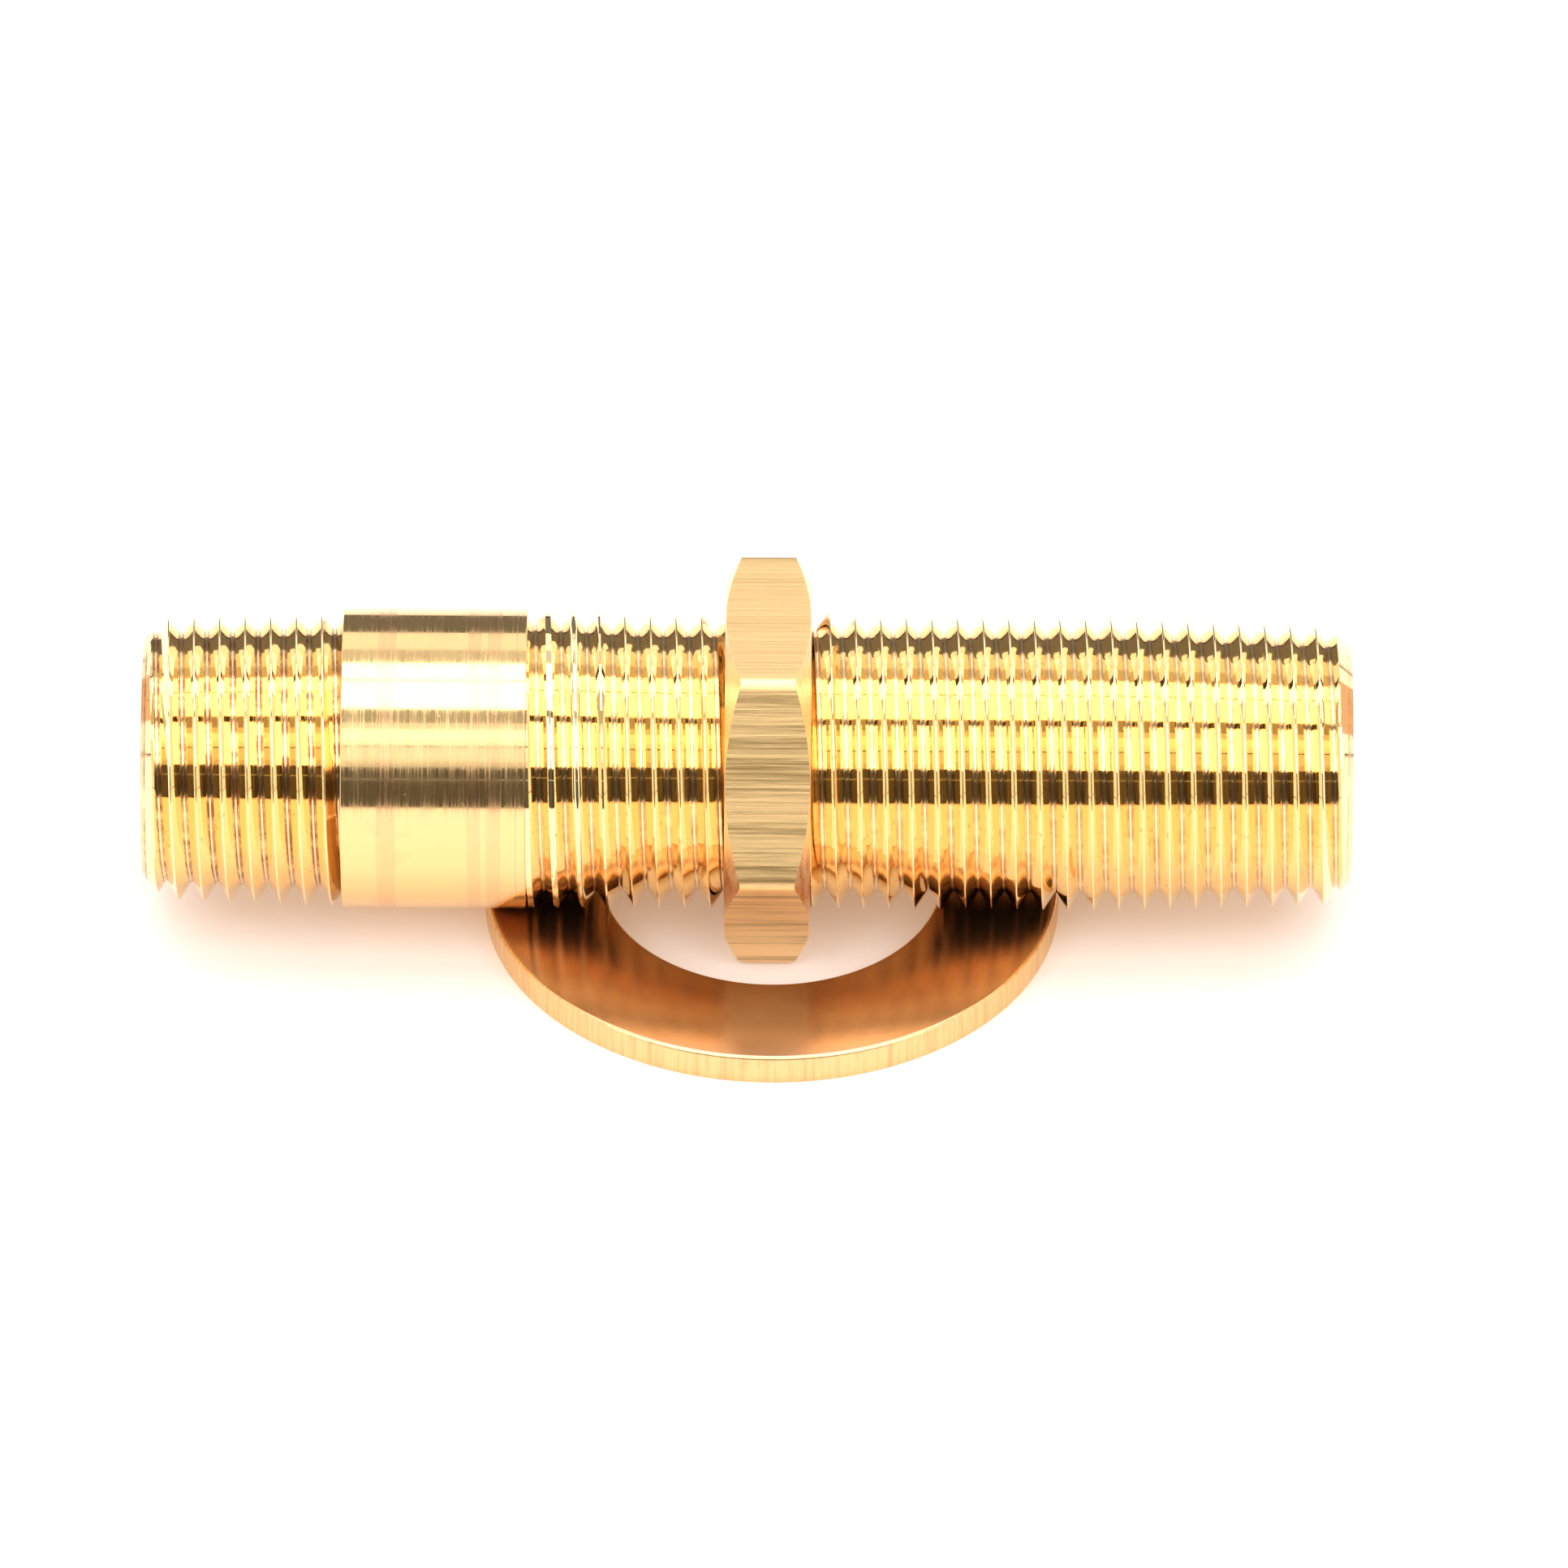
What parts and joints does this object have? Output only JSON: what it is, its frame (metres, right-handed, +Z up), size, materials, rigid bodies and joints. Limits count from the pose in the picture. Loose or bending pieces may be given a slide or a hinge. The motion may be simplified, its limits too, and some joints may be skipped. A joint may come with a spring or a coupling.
{
  "type": "pipe nipple",
  "caption": "Straight pipe nipple with a short tapered male thread, a plain barrel and a long running thread that carries a hexagon locknut, over a flat washer.",
  "frame": {"origin": "on the table, below the middle of the nipple's length and its axis", "axes": "+X along the nipple towards its long running thread, +Z up from the table"},
  "size_m": [0.0856, 0.041, 0.0256],
  "materials": {
    "nipple_brass": "turned, bright",
    "locknut_brass": "drawn bar, machined faces",
    "washer_brass": "stamped, satin"
  },
  "bodies": {
    "nipple": {"nipple": "nipple_brass"},
    "washer": {"washer": "washer_brass"},
    "locknut": {"locknut": "locknut_brass"}
  },
  "joints": [
    {"name": "washer_slide", "type": "slide", "parent": "nipple", "child": "washer", "axis": [1, 0, 0], "range_m": [-0.00908, 0.04536]},
    {"name": "locknut_turn", "type": "hinge", "parent": "washer", "child": "locknut", "pos_m": [0.00162, 0, 0.01287], "axis": [1, 0, 0], "range_deg": [-1800, 9000]}
  ],
  "couplings": [
    {"joint": "washer_slide", "follows": "locknut_turn", "m_per_rad": 0.00028875}
  ]
}
